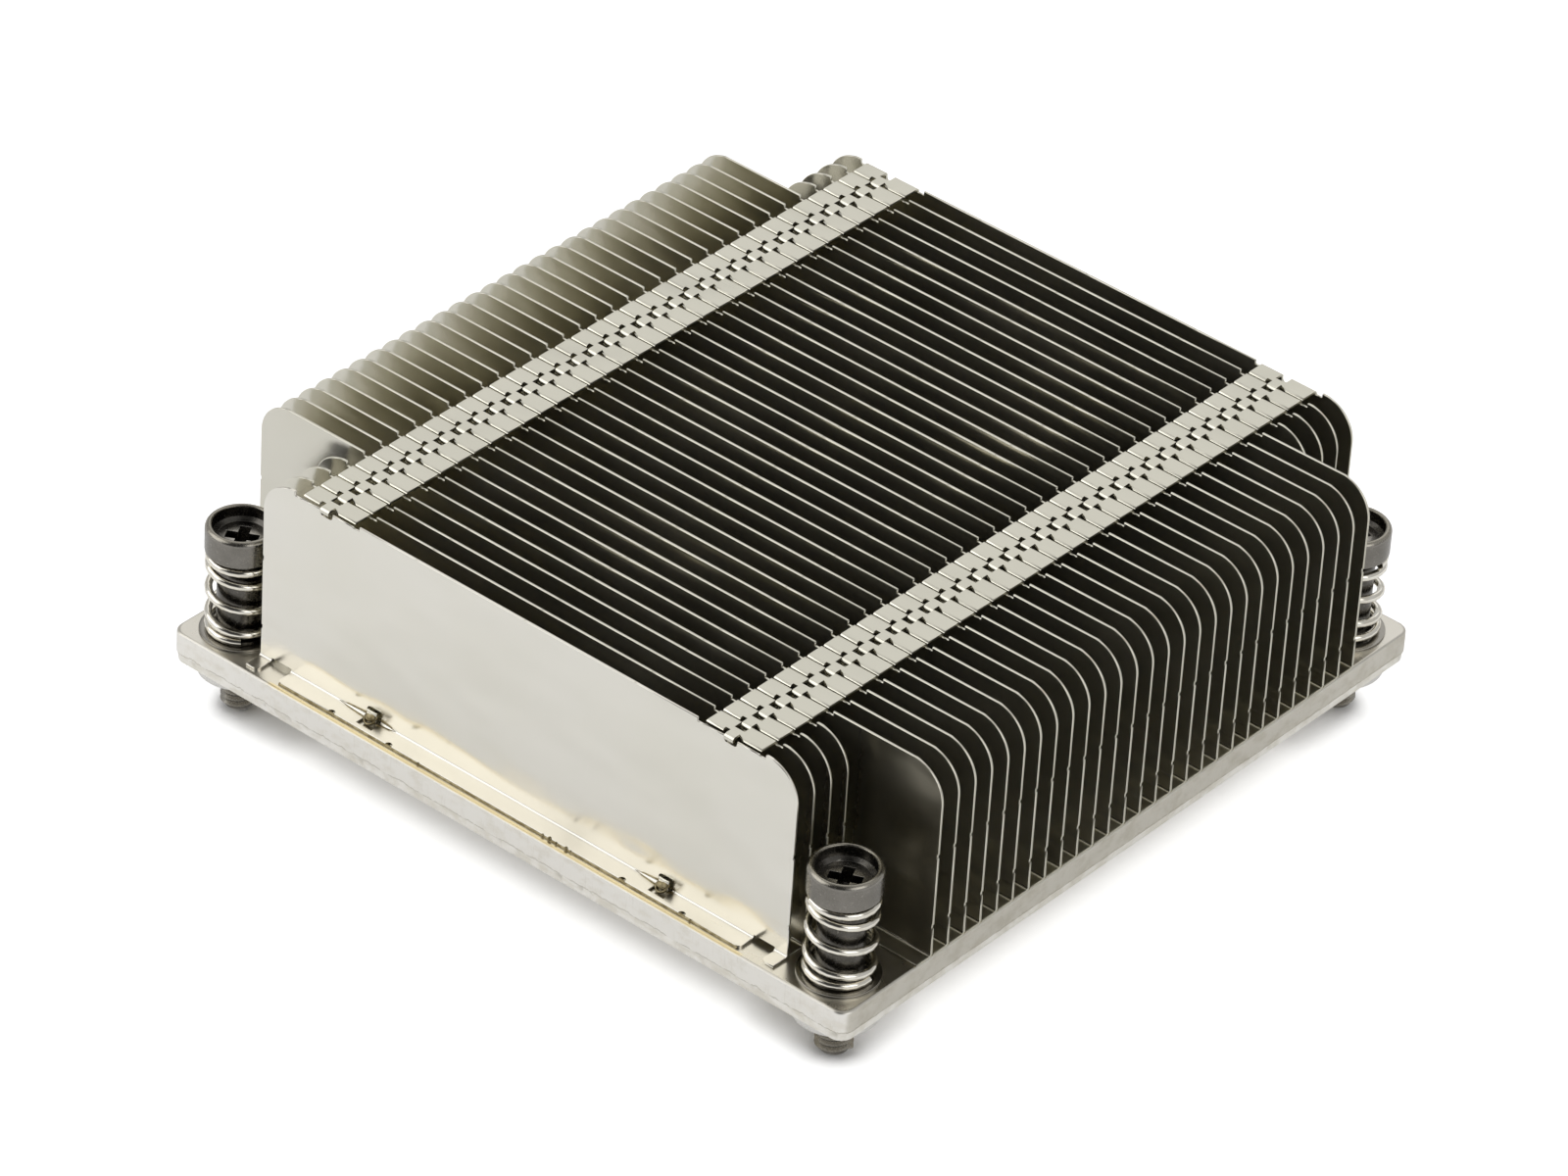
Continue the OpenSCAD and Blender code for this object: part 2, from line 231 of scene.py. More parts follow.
def fin_nickel(name, is_front):
    """Glossy plated sheet: faint rolling streaks, cloudy handling marks, and a paler colour on edges and bends,
    partly the paler sheared edge and partly a painted highlight. The inner fins take a darker copy of the colour,
    painted shade for the deep gaps between them, with painted shade on their upward faces and ends and a painted
    dark reflection on the first long fin's exposed end. The first fin is darker brown round its two locks."""
    material, tree = new_material(name)
    normal = tree.add("ShaderNodeTexCoord", output="Normal")
    across = abs(tree.axis(normal, 1))
    edge = across.ramp(0.85, 0.6)
    cloud = tree.noise(70, detail=4)
    streak = tree.noise(900, (0.06, 1, 1), detail=2)
    grain = tree.noise(6000, detail=1)
    # The inner fins get a darker copy of the front fin's face colour: painted shade for the deep gaps between them.
    if is_front:
        face_color = tree.mix(cloud.ramp(0.3, 0.7), rgb(0.785, 0.765, 0.69), rgb(0.81, 0.79, 0.725))
    else:
        face_color = tree.mix(cloud.ramp(0.3, 0.7), rgb(0.675, 0.655, 0.57), rgb(0.71, 0.69, 0.615))
    # Paler colour on faces that do not look along Y (edges, bends, chamfered lips): partly the paler sheared edge,
    # partly a painted highlight.
    color = tree.mix(edge, face_color, rgb(0.81, 0.775, 0.69) if is_front else rgb(0.86, 0.83, 0.71))
    roughness = 0.16 + 0.05 * streak + 0.06 * cloud.ramp(0.45, 0.75) + 0.10 * edge
    metallic = 1.0
    if is_front:
        # Darker brown round the two locks.
        color = tree.mix(foot_lock_darkening(tree), color, rgb(0.22, 0.175, 0.09))
    else:
        metallic = across.ramp(0.8, 0.95, 1.0, 0.978)
        # Painted shade: the upward faces (the cells' tops) and the faces that look along X (the fins' ends) are
        # darkened.
        color = tree.mix(tree.axis(normal, 2).ramp(0.93, 0.99), color, rgb(0.64, 0.62, 0.53))
        color = tree.mix(abs(tree.axis(normal, 0)).ramp(0.8, 0.95), color, rgb(0.56, 0.54, 0.45))
        point = tree.place()
        # Painted dark reflection on the first long fin's exposed end beside the screw, where its face mirrors the
        # dark fins.
        end_dark_reflection = tree.axis(point, 0).ramp(32 * MM, 36 * MM) * tree.axis(point, 1).ramp(
            first_long_y + 0.2 * MM, first_long_y + 0.1 * MM)
        end_dark_reflection = end_dark_reflection * across.ramp(0.8, 0.95)
        color = tree.mix(0.8 * end_dark_reflection, color, rgb(0.19, 0.17, 0.12))
        roughness = roughness + 0.12 * end_dark_reflection
    wave = tree.bump(tree.noise(110, (0.8, 1, 1.7), detail=1), 0.5 * MM)
    height = grain * 0.3 + streak * 0.4
    metal(tree, color, roughness, tree.bump(height, 0.01 * MM, 0.35, wave), Metallic=metallic)
    return material


def foot_lock_darkening(tree):
    """Mask that darkens the first fin to brown round its two locks."""
    fold = Vector((0, fin_low.y + FIN_FOOT_REACH, plate_high.z + FIN_THICK))
    lock_darkening = 0.0
    for lock_x, _, _ in FOOT_LOCKS:
        near = tree.near((lock_x + 0.2 * MM, fold.y - 0.4 * MM, fold.z + 0.2 * MM), 1.8 * MM)
        lock_darkening = lock_darkening + near.ramp(0.1, 0.7) * tree.noise(1500, detail=4).ramp(0.3, 0.6, 0.35, 1.0)
    return lock_darkening.clamp()


def plate_nickel():
    """Satin plated plate: soft mottling, fine upright drag marks on its sheared sides.
    The sides are painted lighter than the top, the right side carries painted shade,
    and a painted highlight runs along the top front edge.
    """
    material, tree = new_material("plate_nickel")
    normal = tree.add("ShaderNodeTexCoord", output="Normal")
    side = abs(tree.axis(normal, 2)).ramp(0.7, 0.4)
    cloud = tree.noise(160, detail=5, rough=0.6)
    blotch = tree.noise(420, (1, 1, 1.5), detail=5, rough=0.65)
    drag = tree.noise(2600, (1, 1, 0.12), detail=2)
    pit = tree.noise(2600, detail=2)
    face_color = tree.mix(cloud.ramp(0.3, 0.7), rgb(0.66, 0.63, 0.555), rgb(0.72, 0.69, 0.62))
    # Painted light: the sheared sides get a paler colour than the top, over their own blotchy tone.
    side_color = tree.mix(blotch.ramp(0.3, 0.55), rgb(0.82, 0.79, 0.72), rgb(0.90, 0.88, 0.83))
    scratched = tree.mix(drag.ramp(0.55, 0.75, 0.0, 0.25), side_color, rgb(0.62, 0.58, 0.5))
    color = tree.mix(side, face_color, scratched)
    # Painted shade on the faces that look along +X, the plate's right side.
    right = tree.axis(normal, 0).ramp(0.75, 0.98)
    color = tree.mix(right * blotch.ramp(0.3, 0.6, 0.9, 0.65), color, rgb(0.55, 0.52, 0.44))
    point = tree.place()
    height = tree.axis(point, 2)
    shear_z = plate_high.z - SHEAR_DEPTH_SHARE * (plate_high.z - PLATE_UNDER)
    wander = (tree.noise(420, (1, 1, 0), detail=8, rough=0.75) - 0.5) * (1.5 * MM)
    torn = 1 - abs(height - shear_z - 0.05 * MM - wander) / (0.09 * MM)
    color = tree.mix(0.75 * side * torn.clamp(), color, rgb(0.36, 0.32, 0.24))
    # Painted highlight: a yellow line along the top of the plate's front edge, under the solder bead.
    top_edge_highlight = height.ramp(plate_high.z - 0.13 * MM, plate_high.z - 0.05 * MM) * tree.axis(point, 1).ramp(
        plate_low.y + 0.6 * MM, plate_low.y + 0.4 * MM)
    top_edge_highlight = top_edge_highlight * abs(tree.axis(point, 0)).ramp(32 * MM, 31 * MM)
    color = tree.mix(0.8 * top_edge_highlight, color, rgb(0.80, 0.66, 0.36))
    turned_over = abs(tree.axis(normal, 2)).ramp(0.99, 0.85)
    roughness = 0.27 + 0.06 * cloud.ramp(0.4, 0.7) + 0.12 * turned_over
    relief = side * (drag * 0.7 + blotch * 1.4) + pit * 0.25
    metal(tree, color, roughness, tree.bump(relief, 0.012 * MM, 0.5))
    return material


def plate_fracture():
    """The torn lower part of the plate's sheared sides: rougher and a little yellow."""
    material, tree = new_material("plate_fracture")
    cloud = tree.noise(420, (1, 1, 1.6), detail=5, rough=0.65)
    tear = tree.noise(1300, (1, 1, 0.35), detail=4, rough=0.7)
    color = tree.mix(cloud.ramp(0.35, 0.65), rgb(0.80, 0.77, 0.69), rgb(0.95, 0.93, 0.88))
    roughness = 0.38 + 0.16 * tear
    metal(tree, color, roughness, tree.bump(tear + cloud, 0.03 * MM, 0.8))
    return material


def screw_steel():
    """Dark gunmetal plating with fine speckles, worn lighter along its edges, and a painted highlight band round
    the top of the head.
    """
    material, tree = new_material("screw_steel")
    speck = tree.noise(3600, detail=3, rough=0.65)
    cloud = tree.noise(600, detail=3)
    wear = tree.add("ShaderNodeNewGeometry", output="Pointiness").ramp(0.505, 0.56)
    base = tree.mix(cloud.ramp(0.3, 0.7), rgb(0.085, 0.08, 0.07), rgb(0.135, 0.127, 0.115))
    spotted = tree.mix(speck.ramp(0.62, 0.70, 0.0, 0.55), base, rgb(0.42, 0.40, 0.36))
    color = tree.mix(wear, spotted, rgb(0.40, 0.38, 0.34))
    # Painted highlight: a lighter band round the top of the head.
    rim = tree.axis(tree.place(), 2).ramp(screw_high.z - 0.35 * MM, screw_high.z - 0.12 * MM, 0.0, 0.6)
    color = tree.mix(rim, color, rgb(0.44, 0.41, 0.34))
    roughness = 0.20 + 0.06 * cloud + 0.10 * speck.ramp(0.5, 0.65)
    metal(tree, color, roughness, tree.bump(speck, 0.012 * MM, 0.5))
    return material


def spring_steel():
    """Bright drawn wire with faint draw lines."""
    material, tree = new_material("spring_steel")
    cloud = tree.noise(900, detail=3)
    grain = tree.noise(7000, detail=2)
    color = tree.mix(cloud.ramp(0.3, 0.7), rgb(0.80, 0.76, 0.66), rgb(0.88, 0.85, 0.77))
    roughness = 0.11 + 0.06 * cloud
    metal(tree, color, roughness, tree.bump(grain, 0.004 * MM, 0.4))
    return material


def washer_steel():
    """Dark satin plating with a lighter rubbed rim."""
    material, tree = new_material("washer_steel")
    cloud = tree.noise(900, detail=4)
    wear = tree.add("ShaderNodeNewGeometry", output="Pointiness").ramp(0.505, 0.56)
    base = tree.mix(cloud.ramp(0.3, 0.7), rgb(0.12, 0.112, 0.095), rgb(0.17, 0.16, 0.14))
    color = tree.mix(wear, base, rgb(0.42, 0.40, 0.36))
    roughness = 0.18 + 0.08 * cloud
    metal(tree, color, roughness, tree.bump(cloud, 0.01 * MM, 0.5))
    return material


def ring_steel():
    """Bright pressed steel, slightly scuffed."""
    material, tree = new_material("ring_steel")
    cloud = tree.noise(700, detail=4)
    scuff = tree.noise(2400, (1, 0.15, 1), detail=2)
    color = tree.mix(cloud.ramp(0.3, 0.7), rgb(0.66, 0.65, 0.62), rgb(0.76, 0.75, 0.72))
    roughness = 0.22 + 0.12 * scuff
    metal(tree, color, roughness, tree.bump(scuff + cloud, 0.008 * MM, 0.5))
    return material


def solder_tin():
    """Solder: dull olive brown with tarnish, brighter on the swollen bits."""
    material, tree = new_material("solder_tin")
    cloud = tree.noise(1500, detail=4, rough=0.6)
    color = tree.mix(cloud.ramp(0.35, 0.7), rgb(0.20, 0.16, 0.08), rgb(0.42, 0.36, 0.22))
    roughness = 0.26 + 0.18 * cloud
    metal(tree, color, roughness, tree.bump(cloud, 0.025 * MM, 0.6))
    return material


# Modelling helpers: each works on one piece in edit mode, on what it selects by place
def add_primitive(add, **sizes):
    bpy.ops.object.select_all(action="DESELECT")
    add(**sizes)
    piece = bpy.context.object
    bpy.ops.object.transform_apply(location=True, rotation=True, scale=True)
    return piece


@contextmanager
def editing(piece):
    bpy.ops.object.select_all(action="DESELECT")
    piece.select_set(True)
    bpy.context.view_layer.objects.active = piece
    bpy.ops.object.mode_set(mode="EDIT")
    bpy.ops.mesh.select_mode(type="VERT")
    yield
    bpy.ops.object.mode_set(mode="OBJECT")


def choose(piece, kind, test):
    """Selects the vertices, edges or faces of the piece that pass the test."""
    bpy.ops.mesh.select_mode(type=kind)
    bpy.ops.mesh.select_all(action="DESELECT")
    mesh = bmesh.from_edit_mesh(piece.data)
    parts = {"VERT": mesh.verts, "EDGE": mesh.edges, "FACE": mesh.faces}[kind]
    for part in parts:
        part.select_set(bool(test(part)))
    mesh.select_flush_mode()
    bmesh.update_edit_mesh(piece.data)


def apply_modifier(piece, kind, **settings):
    modifier = piece.modifiers.new(kind.lower(), kind)
    for name, value in settings.items():
        setattr(modifier, name, value)
    bpy.ops.object.select_all(action="DESELECT")
    piece.select_set(True)
    bpy.context.view_layer.objects.active = piece
    bpy.ops.object.modifier_apply(modifier=modifier.name)


def cut_away(piece, cutter):
    apply_modifier(piece, "BOOLEAN", operation="DIFFERENCE", solver="EXACT", object=cutter)
    bpy.data.objects.remove(cutter)


def round_edges(piece, width, segments=2, angle=30):
    apply_modifier(piece, "BEVEL", width=width, segments=segments, limit_method="ANGLE",
                   angle_limit=math.radians(angle), harden_normals=False)


def smooth(piece, angle=35):
    bpy.ops.object.select_all(action="DESELECT")
    piece.select_set(True)
    bpy.context.view_layer.objects.active = piece
    bpy.ops.object.shade_smooth_by_angle(angle=math.radians(angle))
    apply_modifier(piece, "WEIGHTED_NORMAL", mode="FACE_AREA", weight=100, keep_sharp=True)


def turned(profile, closed=False, sides=64):
    """A turned piece about the Z axis from its profile of radii and heights.
    A closed profile comes back to its first point and leaves a hole."""
    fill = "NOTHING" if closed else "NGON"
    radius, height = profile[0]
    piece = add_primitive(bpy.ops.mesh.primitive_circle_add, vertices=sides, radius=radius,
                          fill_type=fill, location=(0, 0, height))
    points = profile[1:] + profile[:1] if closed else profile[1:]
    with editing(piece):
        bpy.ops.mesh.select_all(action="SELECT")
        for next_radius, next_height in points:
            share = next_radius / radius
            bpy.ops.mesh.extrude_region()
            if share != 1:
                bpy.ops.transform.resize(value=(share, share, 1), center_override=(0, 0, height))
            if next_height != height:
                bpy.ops.transform.translate(value=(0, 0, next_height - height))
            radius, height = next_radius, next_height
        bpy.ops.mesh.select_all(action="SELECT")
        bpy.ops.mesh.remove_doubles(threshold=0.001 * MM)
        bpy.ops.mesh.normals_make_consistent(inside=False)
    return piece


def set_on_corners(piece, kind, body, material, turns):
    """Copies a piece modelled on the Z axis to the four corners, in place of the plain nodes."""
    copies = {}
    for corner, (side_x, side_y) in CORNERS.items():
        copy = piece.copy()
        copy.data = piece.data.copy()
        copy.name = kind + "_" + corner + "_made"
        bpy.context.scene.collection.objects.link(copy)
        turn = Matrix.Rotation(math.radians(turns[corner]), 4, "Z")
        copy.data.transform(Matrix.Translation((side_x * SCREW_X, side_y * SCREW_Y, 0)) @ turn)
        copy.data.materials.clear()
        copy.data.materials.append(material)
        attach(copy, body.format(corner))
        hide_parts(kind + "_" + corner)
        copies[corner] = copy
    bpy.data.objects.remove(piece)
    return copies


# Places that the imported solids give
plate_low, plate_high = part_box("base_plate")
screw_low, screw_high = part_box("screw_front_right")
spring_low, spring_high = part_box("spring_front_right")
washer_low, washer_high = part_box("washer_front_right")
ring_low, ring_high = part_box("ring_front_right")
fin_low, fin_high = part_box("fin_01")
cell_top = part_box("fin_02")[1].z
sheet_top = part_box("fin_01")[1].z
first_long_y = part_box("fin_05")[1].y - FIN_THICK
SCREW_X = (washer_low.x + washer_high.x) / 2
SCREW_Y = -(washer_low.y + washer_high.y) / 2
SCREW_TURNS = {"front_left": 30, "front_right": 26, "back_right": 70, "back_left": 52}
PLATE_UNDER = plate_low.z + PAD_HEIGHT
FIN_FOOT_REACH = 2.1 * MM


def stacked(piece, levels):
    """Carries a flat outline up through levels of inset and height, and closes it on top."""
    half = piece.dimensions.x / 2
    inset, height = levels[0]
    with editing(piece):
        bpy.ops.mesh.select_all(action="SELECT")
        for next_inset, next_height in levels[1:]:
            share = (half - next_inset) / (half - inset)
            bpy.ops.mesh.extrude_region()
            bpy.ops.transform.resize(value=(share, share, 1), center_override=(0, 0, height))
            bpy.ops.transform.translate(value=(0, 0, next_height - height))
            inset, height = next_inset, next_height
        bpy.ops.mesh.select_all(action="SELECT")
        bpy.ops.mesh.normals_make_consistent(inside=False)


def rounded_square(width, corner, height, steps):
    """A flat face with rounded corners, its sides divided into steps."""
    piece = add_primitive(bpy.ops.mesh.primitive_plane_add, size=width, location=(0, 0, height))
    with editing(piece):
        bpy.ops.mesh.select_all(action="SELECT")
        bpy.ops.mesh.bevel(offset=corner, segments=10, affect="VERTICES")
        choose(piece, "EDGE", lambda e: e.calc_length() > width / 2)
        bpy.ops.mesh.subdivide(number_cuts=steps)
    return piece


def make_plate(material, fracture):
    """Base plate: rolled upper edge, sheared sides torn along their lower part, holes, pad."""
    width = plate_high.x - plate_low.x - 0.002 * MM
    top = plate_high.z
    shear_z = top - SHEAR_DEPTH_SHARE * (top - PLATE_UNDER)
    piece = rounded_square(width - 2 * SHEAR_RECESS, PLATE_CORNER, PLATE_UNDER, PLATE_STEPS)
    piece.name = "base_plate_made"
    roll = PLATE_ROLL
    stacked(piece, [
        (SHEAR_RECESS, PLATE_UNDER),
        (0.95 * SHEAR_RECESS, shear_z - 0.12 * MM),
        (0, shear_z),
        (0, top - roll),
        (0.08 * roll, top - 0.6 * roll),
        (0.3 * roll, top - 0.29 * roll),
        (0.62 * roll, top - 0.08 * roll),
        (1.05 * roll, top),
    ])
    with editing(piece):
        choose(piece, "VERT", lambda v: shear_z - 0.2 * MM < v.co.z < shear_z - 0.05 * MM)
        bpy.ops.transform.vertex_random(offset=SHEAR_WANDER, uniform=0, normal=0, seed=5)
    for side_x, side_y in CORNERS.values():
        drill = add_primitive(bpy.ops.mesh.primitive_cylinder_add, vertices=64, radius=HOLE_RADIUS,
                              depth=4 * (top - PLATE_UNDER),
                              location=(side_x * SCREW_X, side_y * SCREW_Y, top))
        cut_away(piece, drill)
    pad = rounded_square(PAD_WIDTH, PAD_CORNER, 0, 2)
    stacked(pad, [(0, 0), (0, (top + PLATE_UNDER) / 2)])
    apply_modifier(piece, "BOOLEAN", operation="UNION", solver="EXACT", object=pad)
    bpy.data.objects.remove(pad)
    round_edges(piece, 0.06 * MM, angle=50)
    smooth(piece, 40)
    piece.data.materials.clear()
    piece.data.materials.append(material)
    piece.data.materials.append(fracture)
    with editing(piece):
        choose(piece, "FACE", lambda f: abs(f.normal.z) < 0.5 and is_torn(f.calc_center_median(), shear_z))
        piece.active_material_index = 1
        bpy.ops.object.material_slot_assign()
    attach(piece, "heatsink")
    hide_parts("base_plate")


def is_torn(point, shear_z):
    outside = max(abs(point.x), abs(point.y)) > plate_high.x - 2 * SHEAR_RECESS - PLATE_CORNER / 2
    return outside and PLATE_UNDER < point.z < shear_z - 0.03 * MM


def is_sheet_edge(edge):
    """True for the sharp edges along the sheet, not for the short ones across it."""
    if len(edge.link_faces) != 2:
        return False
    length = edge.calc_length()
    across = abs(length - FIN_THICK) < 0.02 * MM
    on_cell = min(vertex.co.z for vertex in edge.verts) > cell_top - 0.44 * MM
    small = length < (1.3 * MM if on_cell else 0.09 * MM)
    return edge.calc_face_angle() > math.radians(50) and not small and not across


def is_cell_lip(edge):
    """True for the long upper front edges of a folded cell."""
    start, end = edge.verts
    lowest = min(start.co.z, end.co.z)
    return lowest > cell_top - 0.06 * MM and abs(start.co.x - end.co.x) > 1.8 * MM


def close_foot_gap(piece, side):
    """Draws a long fin's foot together over the gap near its end, where the photo shows none."""
    seam = side * FOOT_GAP_OUTER
    level = plate_high.z + FIN_THICK + FOLD_RADIUS + 0.05 * MM

    def is_gap_end(vertex):
        x = side * vertex.co.x
        inner = FOOT_GAP_INNER - FOOT_CORNER - 0.02 * MM < x < FOOT_GAP_INNER + 0.02 * MM
        outer = FOOT_GAP_OUTER - 0.02 * MM < x < FOOT_GAP_OUTER + FOOT_CORNER + 0.02 * MM
        return (inner or outer) and vertex.co.z < level

    choose(piece, "VERT", is_gap_end)
    bpy.ops.transform.resize(value=(0, 1, 1), center_override=(seam, 0, 0))
    bpy.ops.mesh.remove_doubles(threshold=0.002 * MM)
    choose(piece, "FACE", lambda f: all(abs(v.co.x - seam) < 0.01 * MM for v in f.verts))
    bpy.ops.mesh.delete(type="FACE")


def dress_fin(name):
    """A fin again from its solid, with the edges rounded as a press leaves them."""
    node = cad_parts[name]
    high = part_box(name)[1]
    lip_y = high.y - FIN_THICK - CELL_REACH
    piece = bpy.data.objects.new(name + "_made", node.data.copy())
    bpy.context.scene.collection.objects.link(piece)
    with editing(piece):
        bpy.ops.mesh.select_all(action="SELECT")
        bpy.ops.mesh.remove_doubles(threshold=0.001 * MM)
        if high.x > FOOT_GAP_OUTER:
            close_foot_gap(piece, -1)
            close_foot_gap(piece, 1)
        bpy.ops.mesh.select_all(action="SELECT")
        bpy.ops.mesh.dissolve_limited(angle_limit=math.radians(0.5))
        choose(piece, "VERT", lambda v: v.co.z > cell_top - 0.4 * MM and abs(v.co.y - lip_y) < 0.05 * MM)
        bpy.ops.transform.translate(value=(0, -CELL_LIP_MORE, 0.1 * CELL_LIP_MORE))
        choose(piece, "EDGE", is_cell_lip)
        bpy.ops.mesh.bevel(offset=CELL_LIP_CHAMFER, segments=1, affect="EDGES", clamp_overlap=False)
        choose(piece, "EDGE", is_sheet_edge)
        bpy.ops.mesh.bevel(offset=FIN_EDGE_ROUND, segments=2, affect="EDGES", clamp_overlap=False)
        hinge = Vector((0, high.y - FIN_THICK - 0.1 * MM, sheet_top))
        choose(piece, "VERT", lambda v: v.co.y < hinge.y - 0.03 * MM and v.co.z > sheet_top - 0.5 * MM)
        bpy.ops.transform.rotate(value=-CELL_LEVELLING, orient_axis="X", center_override=hinge)
    return piece


def make_lock_lines():
    """Thin dark lines that run out from the locks and taper into the fold of the first foot."""
    wall_y = fin_low.y + FIN_FOOT_REACH
    foot_z = plate_high.z + FIN_THICK
    hollow = FOLD_RADIUS * (1 - math.sqrt(0.5))
    lines = []
    for lock_x, reach_left, reach_right in FOOT_LOCKS:
        for side, reach in ((-1, reach_left), (1, reach_right)):
            start_x = lock_x + side * FOOT_WINDOW_WIDTH * 0.35
            tip = Vector((start_x + side * reach, wall_y - hollow, foot_z + hollow))
            for root_y, root_z in ((wall_y, foot_z + LOCK_LINE_SPREAD), (wall_y - LOCK_LINE_SPREAD, foot_z)):
                root = Vector((start_x, root_y, root_z))
                line = add_primitive(bpy.ops.mesh.primitive_cube_add, size=1,
                                     location=(root + tip) / 2, scale=(reach, LOCK_LINE_WIDTH, LOCK_LINE_WIDTH))
                shift = (tip - root) / 2
                with editing(line):
                    choose(line, "FACE", lambda f: f.normal.x * side > 0.5)
                    bpy.ops.transform.resize(value=(1, 0.15, 0.15))
                    bpy.ops.transform.translate(value=(0, shift.y, shift.z))
                    choose(line, "FACE", lambda f: f.normal.x * side < -0.5)
                    bpy.ops.transform.translate(value=(0, -shift.y, -shift.z))
                lines.append(line)
    return lines


def make_fins(material, front_material):
    """The stack: one fin of each kind is dressed, and its copies stand where the solids are."""
    kinds = {}
    for name in sorted(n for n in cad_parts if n.startswith("fin_")):
        low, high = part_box(name)
        kind = (name == "fin_01", round((high.x - low.x) / MM))
        if kind not in kinds:
            piece = dress_fin(name)
            smooth(piece, 40)
            piece.data.materials.clear()
            piece.data.materials.append(front_material if name == "fin_01" else material)
            kinds[kind] = piece, low.y
        else:
            model, model_y = kinds[kind]
            piece = bpy.data.objects.new(name + "_made", model.data.copy())
            bpy.context.scene.collection.objects.link(piece)
            piece.data.transform(Matrix.Translation((0, low.y - model_y, 0)))
        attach(piece, "heatsink")
        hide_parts(name)


def make_solder(material):
    """Solder that swelled out along the front edge of the first foot, in a lumpy bead."""
    reach = 30.8 * MM
    piece = add_primitive(bpy.ops.mesh.primitive_cylinder_add, vertices=12, radius=SOLDER_RADIUS,
                          depth=2 * reach, rotation=(0, math.pi / 2, 0),
                          location=(0, fin_low.y + 0.3 * SOLDER_RADIUS, plate_high.z + 0.2 * SOLDER_RADIUS))
    piece.name = "solder_front"
    with editing(piece):
        choose(piece, "EDGE", lambda e: e.calc_length() > reach)
        bpy.ops.mesh.subdivide(number_cuts=260)
        bpy.ops.mesh.select_all(action="SELECT")
        bpy.ops.transform.vertex_random(offset=0.05 * MM, uniform=0, normal=0, seed=3)
        bpy.ops.mesh.vertices_smooth(factor=0.5, repeat=2)
    grains = []
    for at_x, size in ((5.2, 0.17), (6.1, 0.22), (7.0, 0.15), (8.3, 0.2), (8.9, 0.14), (-11.5, 0.15), (24.5, 0.14)):
        grain = add_primitive(bpy.ops.mesh.primitive_ico_sphere_add, subdivisions=2, radius=size * MM,
                              location=(at_x * MM, fin_low.y - 0.02 * MM, plate_high.z + size * 1.1 * MM))
        with editing(grain):
            bpy.ops.mesh.select_all(action="SELECT")
            bpy.ops.transform.vertex_random(offset=0.03 * MM, uniform=0, normal=0, seed=round(at_x * 10))
        grains.append(grain)
    grains += make_lock_lines()
    for lock_x, _, _ in FOOT_LOCKS:
        place = Vector((lock_x - 0.15 * MM, fin_low.y + FIN_FOOT_REACH - 0.5 * MM,
                        plate_high.z + FIN_THICK + 0.3 * MM))
        collar = add_primitive(bpy.ops.mesh.primitive_torus_add, major_radius=COLLAR_RADIUS,
                               minor_radius=COLLAR_THICK / 2, major_segments=36, minor_segments=10,
                               location=place, rotation=(math.pi / 4, 0, 0))
        with editing(collar):
            bpy.ops.mesh.select_all(action="SELECT")
            bpy.ops.transform.vertex_random(offset=0.04 * MM, uniform=0, normal=0, seed=11)
        grains.append(collar)
        for shift, share in ((Vector((0.0, 0.05, 0.2)), 1.0), (Vector((0.45, 0.1, 0.42)), 0.8)):
            radius = share * COLLAR_RADIUS
            drop = add_primitive(bpy.ops.mesh.primitive_uv_sphere_add, segments=24, ring_count=12,
                                 radius=1, location=place + shift * MM, rotation=(math.pi / 4, 0, 0),
                                 scale=(radius, 0.8 * radius, 0.4 * radius))
            with editing(drop):
                bpy.ops.mesh.select_all(action="SELECT")
                bpy.ops.transform.vertex_random(offset=0.03 * MM, uniform=0, normal=0, seed=4)
            grains.append(drop)
    bpy.ops.object.select_all(action="DESELECT")
    for grain in grains:
        grain.select_set(True)
    piece.select_set(True)
    bpy.context.view_layer.objects.active = piece
    bpy.ops.object.join()
    smooth(piece, 60)
    piece.data.materials.clear()
    piece.data.materials.append(material)
    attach(piece, "heatsink")


